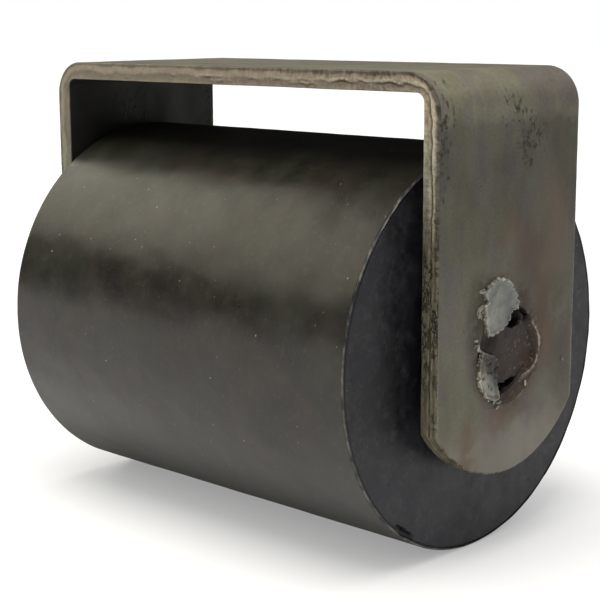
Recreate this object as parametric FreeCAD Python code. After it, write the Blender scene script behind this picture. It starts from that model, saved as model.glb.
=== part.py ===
import FreeCAD, Part
import math
import os

# Rubber guide roller: a rubber-covered tube that turns on two ball bearings over a fixed axle,
# held in a U bracket bent from flat steel bar. The bracket's top face is welded to a machine.
# Origin: centre of that top face. +Z out of it, +Y along the axle, the near leg at -Y. Millimetres.

# Rubber roller
roller_diameter = 108.0
roller_length = 130.0
rim_chamfer = 0.5
end_wrap = 2.0            # rubber moulded over each end of the tube
mouth_clearance = 1.0     # the rubber's mouth lets the bearing pass by this much all round

# Bracket of flat bar
strip_width = 60.0
strip_thickness = 5.0
bend_inner_radius = 2.5   # pressed in sharper than outside, so the bar is thinner there
bend_outer_radius = 10.0
top_gap = 14.5            # roller to the underside of the bracket's web
end_gap = 3.5             # each end of the centred roller to its leg
leg_end_rise = 5.5        # centre of the round leg end above the axle
leg_end_extra = 7.0       # radius of the round leg end beyond half the strip

# Axle
axle_diameter = 25.0
axle_hole_clearance = 0.5
axle_recess = 1.0         # axle end below the leg's outer face
axle_chamfer = 0.5

# Ball bearings, two alike
bearing_diameter = 47.0
bearing_width = 12.0
ball_share = 0.135        # ball diameter over the bearing's diameter
shoulder_share = 0.17     # how far a ball sinks below a land, over its diameter
cage_share = 0.62         # cage thickness over the gap between the lands
race_clearance = 0.3
race_segments = 3
ball_spacing = 4.9        # between neighbouring balls
ball_sides = 8            # the balls are sealed in, so each has few flat faces
ball_bands = 4
bore_clearance = 0.05     # inner ring on the axle
cage_seal_clearance = 0.25
pocket_clearance = 0.3
seal_thickness = 0.9
seal_inset = 0.35
seal_lip_clearance = 0.2

# Tube, retaining rings and sleeves
seat_wall = 5.0           # tube wall round a bearing
seat_shoulder = 1.3       # step that stops the bearing's outer ring
retainer_inset = 3.0      # retaining ring from the tube's end
retainer_thickness = 1.75
retainer_side_clearance = 0.05
retainer_groove_depth = 1.25
retainer_width = 3.0
retainer_opening = 24.0   # degrees
lug_radius = 2.6
lug_hole_diameter = 2.5
sleeve_wall = 2.75
sleeve_clearance = 0.25

# End float: the roller rests towards the far leg
end_float = 2.5
seat_gap = 0.1

# Tack welds. Each bead is a run of overlapping drops: across, up, half width, height.
weld_depth = 1.6
upper_weld_drops = ((-2.8, 15.0, 6.2, 1.7), (-6.0, 12.4, 5.8, 1.5))
lower_weld_drops = ((-8.6, -2.0, 4.8, 1.4), (-8.0, -6.6, 4.6, 1.2))

margin = 1.0              # cutting tools run past what they cut

# Sizes that follow
roller_radius = roller_diameter / 2
axle_radius = axle_diameter / 2
axle_drop = strip_thickness + top_gap + roller_radius
leg_inner = roller_length / 2 + end_gap
leg_outer = leg_inner + strip_thickness
leg_end_radius = strip_width / 2 + leg_end_extra
leg_bottom = leg_end_rise - leg_end_radius - axle_drop
axle_hole_radius = axle_radius + axle_hole_clearance
axle_end = leg_outer - axle_recess
bearing_radius = bearing_diameter / 2
pitch_radius = (axle_radius + bearing_radius) / 2
ball_diameter = ball_share * bearing_diameter
land_gap = ball_diameter * (1 - 2 * shoulder_share)
inner_land = pitch_radius - land_gap / 2
outer_land = pitch_radius + land_gap / 2
cage_thickness = cage_share * land_gap
ball_count = int(2 * math.pi * pitch_radius / (ball_diameter + ball_spacing))
race_radius = ball_diameter / 2 + race_clearance
pocket_width = ball_diameter + 2 * pocket_clearance
cage_width = bearing_width - 2 * (seal_inset + seal_thickness + cage_seal_clearance)
tube_radius = bearing_radius + seat_wall
tube_bore = bearing_radius - seat_shoulder
tube_end = roller_length / 2 - end_wrap
groove_radius = bearing_radius + retainer_groove_depth
retainer_outer_face = tube_end - retainer_inset
bearing_outer_face = retainer_outer_face - retainer_thickness
bearing_middle = bearing_outer_face - bearing_width / 2
bearing_inner_face = bearing_outer_face - bearing_width
sleeve_bore = axle_radius + sleeve_clearance
sleeve_radius = sleeve_bore + sleeve_wall
spacer_face = bearing_outer_face + end_float / 2
roller_shift = end_float / 2 - seat_gap

Vector = FreeCAD.Vector
AXLE_LINE = Vector(0, 1, 0)
SIDES = (("near", -1), ("far", 1))


def on_axle(solid, along=0.0):
    """Put a solid that was made round the Y axis on the axle's line."""
    solid.translate(Vector(0, along, -axle_drop))
    return solid


def turned(outline):
    """Revolve a closed outline of (radius, along) points about the Y axis."""
    points = [Vector(radius, along, 0) for radius, along in outline]
    face = Part.Face(Part.makePolygon(points + points[:1]))
    return face.revolve(Vector(0, 0, 0), AXLE_LINE, 360)


def ring(inner, outer, low, high):
    return turned([(inner, low), (inner, high), (outer, high), (outer, low)])


def cylinder(radius, low, high):
    return Part.makeCylinder(radius, high - low, Vector(0, low, 0), AXLE_LINE)


def at_side(solid, side):
    """Turn a solid made for the far end half a turn about Z for the near end."""
    if side < 0:
        solid.rotate(Vector(0, 0, 0), Vector(0, 0, 1), 180)
    return solid


def mounting_bracket():
    """A strip bent to a U, with its leg ends cut round and bored for the axle."""
    bend = math.sqrt(0.5)

    def yz(along, up):
        return Vector(-strip_width / 2, along, up)

    def bent_side(wall, web, radius, hand):
        """Half of one surface of the U: leg, bend and the point where the web starts."""
        centre_y = wall - radius
        centre_z = web - radius
        leg = Part.LineSegment(yz(hand * wall, leg_bottom), yz(hand * wall, centre_z))
        corner = Part.Arc(yz(hand * wall, centre_z),
                          yz(hand * (centre_y + bend * radius), centre_z + bend * radius),
                          yz(hand * centre_y, web))
        return leg.toShape(), corner.toShape(), yz(hand * centre_y, web)

    edges = []
    for wall, web, radius in ((leg_outer, 0.0, bend_outer_radius),
                              (leg_inner, -strip_thickness, bend_inner_radius)):
        near_leg, near_bend, near_web = bent_side(wall, web, radius, -1)
        far_leg, far_bend, far_web = bent_side(wall, web, radius, 1)
        edges += [near_leg, near_bend, far_leg, far_bend]
        edges.append(Part.LineSegment(near_web, far_web).toShape())
    for hand in (-1, 1):
        end = Part.LineSegment(yz(hand * leg_outer, leg_bottom), yz(hand * leg_inner, leg_bottom))
        edges.append(end.toShape())
    profile = Part.Face(Part.Wire(Part.__sortEdges__(edges)))
    strip = profile.extrude(Vector(strip_width, 0, 0))

    half = strip_width / 2
    arc_centre = leg_end_rise - axle_drop
    shoulder = arc_centre - math.sqrt(leg_end_radius ** 2 - half ** 2)

    def xz(across, up):
        return Vector(across, -leg_outer - margin, up)

    outline = Part.Wire([
        Part.LineSegment(xz(-half, margin), xz(-half, shoulder)).toShape(),
        Part.Arc(xz(-half, shoulder), xz(0, leg_bottom), xz(half, shoulder)).toShape(),
        Part.LineSegment(xz(half, shoulder), xz(half, margin)).toShape(),
        Part.LineSegment(xz(half, margin), xz(-half, margin)).toShape(),
    ])
    blank = Part.Face(outline).extrude(Vector(0, 2 * (leg_outer + margin), 0))
    hole = on_axle(cylinder(axle_hole_radius, -leg_outer - margin, leg_outer + margin))
    return strip.common(blank).cut(hole)


def axle_pin():
    return on_axle(turned([(0, -axle_end), (axle_radius - axle_chamfer, -axle_end),
                           (axle_radius, -axle_end + axle_chamfer),
                           (axle_radius, axle_end - axle_chamfer),
                           (axle_radius - axle_chamfer, axle_end), (0, axle_end)]))


def tack_weld(drops, bracket, axle):
    """A bead on the near leg that fills the joint of the axle's end and the leg."""
    bead = None
    for across, up, half_width, height in drops:
        radius = (half_width ** 2 + height ** 2) / (2 * height)
        centre = Vector(across, -leg_outer + radius - height, up - axle_drop)
        drop = Part.makeSphere(radius, centre)
        bead = drop if bead is None else bead.fuse(drop)
    tallest = max(height for across, up, half_width, height in drops) + margin
    slab = Part.makeBox(strip_width, tallest + weld_depth, 2 * strip_width,
                        Vector(-strip_width / 2, -leg_outer - tallest, -axle_drop - strip_width))
    return bead.common(slab).cut(bracket).cut(axle).removeSplitter()


def race(hand):
    """Points of a ring's ball groove, from the bearing's inner face outwards."""
    edge = math.acos(land_gap / 2 / race_radius)
    points = []
    for index in range(race_segments + 1):
        angle = edge * (2 * index / race_segments - 1)
        points.append((pitch_radius + hand * race_radius * math.cos(angle),
                       bearing_middle + race_radius * math.sin(angle)))
    return points


def inner_ring():
    bore = axle_radius + bore_clearance
    low = bearing_inner_face
    high = bearing_outer_face
    groove = race(-1)[::-1]
    return turned([(bore, low), (bore, high), (inner_land, high)] + groove + [(inner_land, low)])


def outer_ring():
    low = bearing_inner_face
    high = bearing_outer_face
    rim = [(outer_land, high), (bearing_radius, high), (bearing_radius, low)]
    return turned([(outer_land, low)] + race(1) + rim)


def ball_angles():
    return [360 * (index + 0.5) / ball_count for index in range(ball_count)]


def ball(centre):
    """A ball in flat facets, its corners on the true sphere."""
    def corner(band, side):
        latitude = math.pi * (band / ball_bands - 0.5)
        longitude = 2 * math.pi * side / ball_sides
        out = ball_diameter / 2 * math.cos(latitude)
        return centre + Vector(out * math.cos(longitude), out * math.sin(longitude),
                               ball_diameter / 2 * math.sin(latitude))

    facets = []
    for band in range(ball_bands):
        for side in range(ball_sides):
            loop = [corner(band, side), corner(band, side + 1),
                    corner(band + 1, side + 1), corner(band + 1, side)]
            if band == 0:
                loop = loop[1:]
            elif band == ball_bands - 1:
                loop = loop[:3]
            facets.append(Part.Face(Part.makePolygon(loop + loop[:1])))
    return Part.Solid(Part.Shell(facets))


def balls():
    row = []
    for angle in ball_angles():
        one = ball(Vector(pitch_radius, bearing_middle, 0))
        one.rotate(Vector(0, 0, 0), AXLE_LINE, angle)
        row.append(one)
    return Part.makeCompound(row)


def cage():
    """A ring between the lands with a square pocket for each ball."""
    band = ring(pitch_radius - cage_thickness / 2, pitch_radius + cage_thickness / 2,
                bearing_middle - cage_width / 2, bearing_middle + cage_width / 2)
    for angle in ball_angles():
        pocket = Part.makeBox(land_gap, pocket_width, pocket_width,
                              Vector(inner_land, bearing_middle - pocket_width / 2, -pocket_width / 2))
        pocket.rotate(Vector(0, 0, 0), AXLE_LINE, angle)
        band = band.cut(pocket)
    return band


def seal(face, inwards):
    start = face + inwards * seal_inset
    end = start + inwards * seal_thickness
    return ring(inner_land + seal_lip_clearance, outer_land, min(start, end), max(start, end))


def retaining_ring():
    """A snap ring for the tube's groove, open at the top, with an eyelet on each end."""
    low = bearing_outer_face
    high = retainer_outer_face
    band = ring(groove_radius - retainer_width, groove_radius, low, high)
    half_opening = math.radians(retainer_opening / 2)
    reach = 2 * groove_radius
    wedge_points = [Vector(0, low - margin, 0),
                    Vector(-reach * math.sin(half_opening), low - margin, reach * math.cos(half_opening)),
                    Vector(reach * math.sin(half_opening), low - margin, reach * math.cos(half_opening))]
    wedge = Part.Face(Part.makePolygon(wedge_points + wedge_points[:1]))
    snap = band.cut(wedge.extrude(Vector(0, high - low + 2 * margin, 0)))
    lug_circle = groove_radius - retainer_width
    lug_angle = half_opening + lug_radius / lug_circle
    for hand in (-1, 1):
        middle = Vector(hand * lug_circle * math.sin(lug_angle), low, lug_circle * math.cos(lug_angle))
        lug = Part.makeCylinder(lug_radius, high - low, middle, AXLE_LINE)
        eye = Part.makeCylinder(lug_hole_diameter / 2, high - low, middle, AXLE_LINE)
        snap = snap.fuse(lug).cut(eye)
    return snap.removeSplitter()


def core_tube():
    """A thick tube, bored at each end for a bearing and grooved for its retaining ring."""
    tube = ring(tube_bore, tube_radius, -tube_end, tube_end)
    for side in (-1, 1):
        seat = cylinder(bearing_radius, bearing_inner_face, tube_end + margin)
        groove = cylinder(groove_radius, bearing_outer_face - retainer_side_clearance,
                          retainer_outer_face + retainer_side_clearance)
        tube = tube.cut(at_side(seat, side)).cut(at_side(groove, side))
    return tube


def rubber_roller():
    """The rubber, moulded round the tube and over its ends, with a mouth for each bearing."""
    mouth = bearing_radius + mouth_clearance
    end = roller_length / 2
    half = [(tube_radius, tube_end), (mouth, tube_end), (mouth, end),
            (roller_radius - rim_chamfer, end), (roller_radius, end - rim_chamfer)]
    return turned(half + [(radius, -along) for radius, along in half[::-1]])


def sleeve(low, high):
    return ring(sleeve_bore, sleeve_radius, low, high)


# Fixed pieces
bracket = mounting_bracket()
axle = axle_pin()
parts = {"mounting_bracket": bracket, "axle_pin": axle}
for name, side in SIDES:
    for place, drops in (("upper", upper_weld_drops), ("lower", lower_weld_drops)):
        bead = tack_weld(drops, bracket, axle)
        if side > 0:
            bead.rotate(Vector(0, 0, 0), Vector(0, 0, 1), 180)
        parts[f"{name}_{place}_tack_weld"] = bead
    parts[f"{name}_spacer_sleeve"] = on_axle(at_side(sleeve(spacer_face, leg_inner), side))

# Pieces that float along the axle with the roller
for name, side in SIDES:
    bearing = {
        "inner_ring": inner_ring(),
        "outer_ring": outer_ring(),
        "balls": balls(),
        "cage": cage(),
        "outer_seal": seal(bearing_outer_face, -1),
        "inner_seal": seal(bearing_inner_face, 1),
    }
    for piece, solid in bearing.items():
        parts[f"{name}_bearing_{piece}"] = on_axle(at_side(solid, side), roller_shift)
    parts[f"{name}_retaining_ring"] = on_axle(at_side(retaining_ring(), side), roller_shift)
parts["bearing_distance_sleeve"] = on_axle(sleeve(-bearing_inner_face, bearing_inner_face), roller_shift)
parts["core_tube"] = on_axle(core_tube(), roller_shift)
parts["rubber_roller"] = on_axle(rubber_roller(), roller_shift)

os.makedirs("parts", exist_ok=True)
for node, shape in parts.items():
    shape.exportStep(f"parts/{node}.step")
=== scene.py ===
import math

import bmesh
import bpy
from mathutils import Matrix, Vector, noise


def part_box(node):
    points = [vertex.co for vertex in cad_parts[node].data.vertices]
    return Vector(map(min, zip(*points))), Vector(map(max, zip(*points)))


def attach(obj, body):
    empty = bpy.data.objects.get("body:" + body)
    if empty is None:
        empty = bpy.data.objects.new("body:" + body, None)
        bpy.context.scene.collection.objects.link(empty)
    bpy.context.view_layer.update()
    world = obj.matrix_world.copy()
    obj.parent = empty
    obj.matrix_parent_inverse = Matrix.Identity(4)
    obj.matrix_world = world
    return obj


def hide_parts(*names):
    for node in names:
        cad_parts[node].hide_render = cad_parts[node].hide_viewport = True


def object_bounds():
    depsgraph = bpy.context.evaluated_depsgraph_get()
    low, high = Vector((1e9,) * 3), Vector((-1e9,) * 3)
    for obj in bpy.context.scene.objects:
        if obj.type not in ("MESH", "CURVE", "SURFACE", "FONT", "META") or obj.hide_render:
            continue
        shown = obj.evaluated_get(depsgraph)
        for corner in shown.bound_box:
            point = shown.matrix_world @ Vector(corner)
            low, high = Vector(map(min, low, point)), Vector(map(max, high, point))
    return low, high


# Looks of a rubber guide roller: a rubber roller in a U bracket of raw flat bar, its axle tacked
# to the bracket's legs with weld beads. Metres, in the frame's axes.

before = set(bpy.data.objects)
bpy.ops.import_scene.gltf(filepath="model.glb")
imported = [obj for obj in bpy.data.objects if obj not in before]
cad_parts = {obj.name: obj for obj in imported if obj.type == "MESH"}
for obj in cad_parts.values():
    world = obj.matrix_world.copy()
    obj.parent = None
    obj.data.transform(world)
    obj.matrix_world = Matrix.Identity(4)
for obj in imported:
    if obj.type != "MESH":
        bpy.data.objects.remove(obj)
cad_box = [list(corner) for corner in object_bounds()]

MM = 0.001

# Sizes that the frame gives
bracket_low, bracket_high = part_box("mounting_bracket")
axle_low, axle_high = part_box("axle_pin")
rubber_low, rubber_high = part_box("rubber_roller")
tube_low, tube_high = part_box("core_tube")
bearing_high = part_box("far_bearing_outer_ring")[1]
spacer_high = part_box("far_spacer_sleeve")[1]
half_width = bracket_high.x
leg_outer = bracket_high.y
leg_inner = spacer_high.y
thickness = leg_outer - leg_inner
leg_bottom = bracket_low.z
axle_radius = axle_high.x
axle_height = (axle_low.z + axle_high.z) / 2
axle_end = axle_high.y
rubber_radius = rubber_high.x
tube_radius = tube_high.x

# Sizes of the bracket that its box doesn't show
bend_radius = 10 * MM         # outside of each bend
inner_bend_radius = 2.5 * MM
leg_end_radius = 37 * MM
hole_radius = axle_radius + 0.5 * MM
corner = 0.45 * MM            # broken edges of the bar
torn_from = -1.2e-3           # across times along, in square metres, where a long edge starts to be torn
torn_to = 1.8e-3              # and where it is torn most
web_half = leg_outer - bend_radius
leg_start = web_half + (bend_radius - thickness / 2) * math.pi / 2   # along the strip from the web's middle


def leg_along(height):
    """Place along the strip, from the web's middle, of a height on a leg."""
    return leg_start - bend_radius - height


def srgb(*colour):
    """Linear colour of a colour written in 0 to 255."""
    def linear(value):
        share = value / 255
        if share <= 0.04045:
            return share / 12.92
        return ((share + 0.055) / 1.055) ** 2.4

    return tuple(linear(value) for value in colour)


# Materials

class Value:
    """An output of a finish's node, with the sums and textures that finishes are made of."""

    def __init__(self, paint, socket):
        self.paint = paint
        self.socket = socket

    def math(self, operation, other=0.0):
        return self.paint.value("Math", {0: self, 1: other}, operation=operation)

    def __add__(self, other):
        return self.math("ADD", other)

    def __sub__(self, other):
        return self.math("SUBTRACT", other)

    def __mul__(self, other):
        return self.math("MULTIPLY", other)

    def __abs__(self):
        return self.math("ABSOLUTE")

    def vector(self, operation, other=(0, 0, 0), output="Vector"):
        return self.paint.value("VectorMath", {0: self, 1: other}, output, operation=operation)

    def axis(self, name):
        return self.paint.value("SeparateXYZ", {0: self}, name)

    def level(self, low, high, from_share=0.0, to_share=1.0, smooth=True):
        """Where the value lies from low to high, as a number between the two shares."""
        inputs = {"Value": self, "From Min": low, "From Max": high,
                  "To Min": from_share, "To Max": to_share}
        kind = "SMOOTHSTEP" if smooth else "LINEAR"
        return self.paint.value("MapRange", inputs, "Result", interpolation_type=kind)

    def noise(self, grain, detail=3.0, roughness=0.55, stretch=(1, 1, 1)):
        """Noise over a place, with features of the size grain in millimetres. stretch squeezes it along
        each axis."""
        mapped = self.paint.value("Mapping", {"Vector": self, "Scale": stretch})
        inputs = {"Vector": mapped, "Scale": 1 / (grain * MM), "Detail": detail, "Roughness": roughness}
        return self.paint.value("TexNoise", inputs, "Fac")

    def spot(self, across, up, reach_across, reach_up, share):
        """A share that fades from a spot on a leg, in millimetres, to 0 at its reach."""
        away = self.vector("SUBTRACT", (across * MM, up * MM, 0))
        scaled = away.vector("DIVIDE", (reach_across * MM, reach_up * MM, 1))
        return scaled.vector("LENGTH", output="Value").level(0.0, 1.0, share, 0.0)


class Finish:
    """A procedural material: a base colour, then coats of colour and relief, each over the ones before."""

    def __init__(self, name, metallic=0.0, specular=0.5):
        self.material = bpy.data.materials.new(name)
        self.material.use_nodes = True
        self.tree = self.material.node_tree
        self.shader = self.tree.nodes["Principled BSDF"]
        self.shader.inputs["Metallic"].default_value = metallic
        self.shader.inputs["Specular IOR Level"].default_value = specular
        self.colour = None
        self.normal = None

    def value(self, kind, inputs=None, output=0, **settings):
        """Add a node and give one of its outputs."""
        node = self.tree.nodes.new("ShaderNode" + kind)
        for key, setting in settings.items():
            setattr(node, key, setting)
        for key, given in (inputs or {}).items():
            if isinstance(given, Value):
                self.tree.links.new(given.socket, node.inputs[key])
            else:
                node.inputs[key].default_value = given
        return Value(self, node.outputs[output])

    def place(self):
        return self.value("TexCoord", output="Object")

    def attribute(self, name, output="Fac"):
        return self.value("Attribute", output=output, attribute_name=name)

    def axle_distance(self):
        """Distance from the axle's line."""
        centred = self.place().vector("ADD", (0, 0, -axle_height))
        return centred.vector("MULTIPLY", (1, 0, 1)).vector("LENGTH", output="Value")

    def leg_place(self):
        """Across and up from a leg's axle, seen from outside that leg, as on_leg takes them."""
        place = self.place()
        across = place.axis("X") * place.axis("Y").math("SIGN") * -1.0
        return self.value("CombineXYZ", {0: across, 1: place.axis("Z") - axle_height})

    def ramp(self, factor, *stops):
        """Linear colours, each at a position of the factor."""
        ramp = self.value("ValToRGB", {"Fac": factor}, "Color")
        elements = ramp.socket.node.color_ramp.elements
        while len(elements) < len(stops):
            elements.new(1.0)
        for element, (position, colour) in zip(elements, stops):
            element.position = position
            element.color = (*colour, 1.0)
        return ramp

    def shades(self, factor, *stops):
        """Colours written in 0 to 255, each at a position of the factor."""
        return self.ramp(factor, *((position, srgb(*colour)) for position, colour in stops))

    def mix(self, share, other, mode="MIX"):
        """Mix a share of another linear colour into the colour so far."""
        second = other if isinstance(other, Value) else (*other, 1.0)
        inputs = {0: share, 6: self.colour, 7: second}
        self.colour = self.value("Mix", inputs, 2, data_type="RGBA", blend_type=mode)

    def cover(self, share, *colour):
        """Lay a colour, written in 0 to 255, over the colour so far."""
        self.mix(share, srgb(*colour))

    def tint(self, factor, *stops, share=1.0):
        """Make the colour lighter or darker: each stop is a position of the factor and a tone."""
        greys = self.ramp(factor, *((position, (tone,) * 3) for position, tone in stops))
        self.mix(share, greys, "MULTIPLY")

    def shade(self, share, tone):
        """Change a share of the colour by one tone."""
        self.mix(share, (tone,) * 3, "MULTIPLY")

    def bump(self, height, depth, strength):
        """Relief of a depth in millimetres, over the relief so far."""
        inputs = {"Height": height, "Distance": depth * MM, "Strength": strength}
        if self.normal is not None:
            inputs["Normal"] = self.normal
        self.normal = self.value("Bump", inputs)

    def done(self, roughness):
        """The material, with its colour, roughness and relief linked."""
        for name, given in (("Base Color", self.colour), ("Roughness", roughness), ("Normal", self.normal)):
            self.tree.links.new(given.socket, self.shader.inputs[name])
        return self.material


# How light the rolled faces are painted along the strip, as light and shade: web, lit bend, shaded upper
# leg, leg
painted_light_tones = ((web_half - 6 * MM, 1.22), (web_half + 3 * MM, 1.45), (leg_start - 5 * MM, 1.92),
               (leg_start - 1 * MM, 1.62), (leg_along(-14 * MM), 0.84), (leg_along(-24 * MM), 0.68),
               (leg_along(-44 * MM), 0.80), (leg_along(-62 * MM), 0.97))

# Stains by the welds, the sooty ones partly painted shade, in millimetres: across and up from the axle,
# reach across and up, share
rusty_spots = ((1, 30, 9, 10, 0.55), (-19, -29, 10, 7, 0.9), (-4, -16, 9, 5, 0.65),
               (-17, -23, 6, 15, 0.65), (17, 1, 5, 9, 0.6), (20, 34, 14, 22, 0.45))
soot_and_shade_spots = ((-14, 8, 7, 15, 0.75), (-12, 19, 6, 7, 0.5), (6, 14, 6, 6, 0.7), (3, -15, 9, 4, 0.5),
               (25, 4, 9, 20, 0.3))
# Darker spots on the axle's ends beside the beads, written the same way
axle_dark_spots = ((-7, 5, 6, 5, 0.95), (-3, -8, 8, 6, 0.85), (2.5, 9, 7, 6, 0.8))


def scale_finish():
    """Mill scale on the bar's rolled faces: mottled olive, violet and brown, pitted, and stained by
    the welds, with painted light and shade along the strip, at the leg ends and on the inner faces."""
    paint = Finish("bracket_mill_scale", metallic=0.25, specular=0.4)
    strip = paint.attribute("strip", "Vector")
    place = paint.place()
    leg = paint.leg_place()
    patches = strip.noise(30, detail=5, roughness=0.6, stretch=(1.6, 1, 1))
    paint.colour = paint.shades(patches, (0.32, (110, 104, 93)), (0.45, (120, 118, 102)),
                                (0.55, (116, 114, 96)), (0.68, (126, 117, 103)))
    violet = strip.noise(12, stretch=(1, 0.45, 1)).level(0.46, 0.62, 0.0, 0.85)
    paint.cover(violet, 110, 103, 99)
    streaks = strip.noise(2.4, detail=4, stretch=(1, 0.3, 1))
    paint.tint(streaks, (0.3, 0.93), (0.7, 1.05))
    grain = strip.noise(0.8, detail=4, roughness=0.7)
    paint.tint(grain, (0.25, 0.80), (0.75, 1.18))
    ragged = strip.noise(8, detail=5) * (10 * MM) - 5 * MM
    first = painted_light_tones[0][0]
    last = painted_light_tones[-1][0]
    stops = [((mark - first) / (last - first), tone) for mark, tone in painted_light_tones]
    # painted light and shade along the strip: a lighter web and bends, darker upper legs
    paint.tint((abs(strip.axis("Y")) + ragged).level(first, last, smooth=False), *stops)
    # Painted shade: the right half of each leg darker, the left a little lighter. In square metres, below 0
    # on the right half of a leg seen from outside
    hand = place.axis("X") * place.axis("Y")
    paint.tint(hand.level(1.6e-3, -1.8e-3), (0.0, 1.03), (1.0, 0.84))
    smudge = leg.spot(6, 56, 9, 14, 0.7) * strip.noise(5, detail=4).level(0.36, 0.60)
    paint.shade(smudge, 0.66)
    crowd = leg.spot(4, 58, 16, 18, 0.19) + leg.spot(-29, 54, 9, 32, 0.22)
    crowd = crowd + strip.noise(22, detail=2).level(0.50, 0.64, 0.0, 0.10)
    specks = strip.noise(1.8, detail=4, roughness=0.65, stretch=(1, 0.8, 1))
    pits = (specks + crowd).level(0.68, 0.86, 0.0, 0.9)
    paint.cover(pits, 54, 47, 39)
    cloud = place.noise(7, detail=4)
    paint.cover(leg.spot(8, 8, 32, 36, 1.1) * cloud.level(0.34, 0.60), 100, 86, 73)
    # rust round the axle, darkened also as painted shade round the welds
    rust_and_shade = (paint.axle_distance() + cloud * (8 * MM)).level(17 * MM, 22 * MM, 1.0, 0.0)
    paint.cover(rust_and_shade * grain.level(0.35, 0.6), 84, 69, 57)
    height = place.axis("Z")
    # painted light: the legs' lower ends lighter, as if lit from the floor below
    painted_bottom_light = (height + cloud * (16 * MM)).level(-92 * MM, -76 * MM, 0.7, 0.0)
    paint.cover(painted_bottom_light, 153, 147, 138)
    rosy_cloud = cloud.level(0.30, 0.54)
    for spot in rusty_spots:
        paint.cover(leg.spot(*spot) * rosy_cloud, 120, 95, 77)
    soot_and_shade_cloud = strip.noise(3, detail=5).level(0.34, 0.58, 0.3, 1.0)
    # soot with painted shade beside the welds
    for spot in soot_and_shade_spots:
        paint.cover(leg.spot(*spot) * soot_and_shade_cloud, 50, 45, 38)
    border = abs(strip.axis("X")).level(half_width - 1.4 * MM, half_width - 0.5 * MM, 0.0, 0.45)
    border = border * height.level(-56 * MM, -72 * MM) * grain.level(0.36, 0.56)
    paint.cover(border, 158, 152, 134)
    # painted shade: the inner faces of the U darker
    painted_inner_shade = strip.axis("Z").level(0.5 * thickness, 0.9 * thickness)
    paint.cover(painted_inner_shade, 46, 45, 43)
    paint.bump(grain, 0.06, 0.6)
    paint.bump(pits, -0.2, 0.9)
    return paint.done(patches.level(0.3, 0.7, 0.46, 0.64))


def cut_finish():
    """The bar's slit edges: tan metal, torn and scored towards one end, painted dark low on the legs as the
    roller's shadow.
    """
    paint = Finish("bracket_cut_edge", metallic=0.35)
    strip = paint.attribute("strip", "Vector")
    depth = strip.axis("Z")
    height = paint.place().axis("Z")
    broad = strip.noise(14, detail=4)
    paint.colour = paint.shades(broad, (0.3, (150, 134, 118)), (0.5, (158, 147, 128)),
                                (0.7, (150, 133, 120)))
    blotch = strip.noise(1.8, detail=5, roughness=0.7, stretch=(0.6, 0.6, 1))
    paint.tint(blotch, (0.28, 0.78), (0.5, 0.98), (0.72, 1.16))
    wobble = strip.noise(7, detail=4, stretch=(1, 1, 0.3)).level(0.3, 0.7, -0.12, 0.12)
    layer = depth.level(0.0, thickness, smooth=False) + wobble
    paint.tint(layer, (0.0, 0.90), (0.14, 0.98), (0.34, 1.12), (0.50, 1.05), (0.62, 0.66), (0.78, 0.70),
               (1.0, 0.86))
    fringe = (depth + wobble * (3 * MM)).level(0.7 * MM, 1.3 * MM, 1.0, 0.0)
    paint.shade(fringe * blotch.level(0.34, 0.56, 0.45, 1.0), 0.46)
    torn = (strip.axis("X") * strip.axis("Y")).level(torn_from, torn_to)
    flakes = strip.noise(1.1, detail=5, roughness=0.75, stretch=(1, 1, 0.6))
    paint.tint(flakes, (0.32, 0.52), (0.5, 1.04), (0.68, 1.44), share=torn)
    paint.shade(torn * layer.level(0.22, 0.46, 1.0, 0.0), 0.84)
    # painted light: the edge lighter by the near bend, where it is lit
    painted_bend_light = abs(strip.axis("Y") + (leg_start + 4 * MM)).level(0.0, 24 * MM, 0.5, 0.0)
    paint.shade(painted_bend_light * layer.level(0.16, 0.42), 2.5)
    paint.mix(height.level(-12 * MM, -22 * MM), srgb(239, 250, 248), "MULTIPLY")
    # painted shadow: the roller's shadow on the legs' front edges, low down
    painted_roller_shadow = (height + strip.noise(6, detail=4) * (16 * MM)).level(-38 * MM, -26 * MM, 1.0, 0.0)
    paint.mix(painted_roller_shadow, paint.shades(blotch, (0.0, (92, 88, 71)), (1.0, (140, 133, 109))))
    ticks = strip.noise(1.6, detail=4, stretch=(1, 1, 0.35)).level(0.44, 0.60, 0.0, 0.95)
    groups = strip.noise(8, detail=2).level(0.34, 0.54)
    paint.cover(ticks * layer.level(0.12, 0.40, 1.0, 0.0) * groups * torn, 64, 56, 44)
    vein = abs(strip.noise(2.8, detail=5, roughness=0.65, stretch=(1, 0.32, 1)) - 0.5)
    crack_zone = abs(height + 56 * MM).level(0.0, 26 * MM, 0.5, 0.0)
    cracks = vein.level(0.008, 0.045, 0.95, 0.0) * painted_roller_shadow * (broad + crack_zone).level(0.46, 0.62)
    paint.cover(cracks, 30, 27, 21)
    paint.cover(paint.leg_place().spot(5, 12, 8, 6, 1.4), 52, 43, 36)
    paint.cover(paint.attribute("score"), 62, 53, 42)
    grain = strip.noise(0.7, detail=4, roughness=0.7)
    inner_part = depth.level(0.1 * thickness, 0.2 * thickness)
    inner_part = inner_part * depth.level(0.90 * thickness, 0.96 * thickness, 1.0, 0.0)
    # the burrs are painted dimmer inside the painted shadow
    bright = inner_part * painted_roller_shadow * -0.8 + 1.0
    # bright burrs, partly bare metal and partly painted highlight
    paint.cover(paint.attribute("burr") * grain.level(0.36, 0.6) * bright, 206, 198, 174)
    paint.bump(blotch, 0.25, 0.7)
    paint.bump(cracks, -0.3, 0.8)
    paint.bump(grain, 0.08, 0.7)
    return paint.done(grain.level(0.3, 0.7, 0.38, 0.6))


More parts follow.
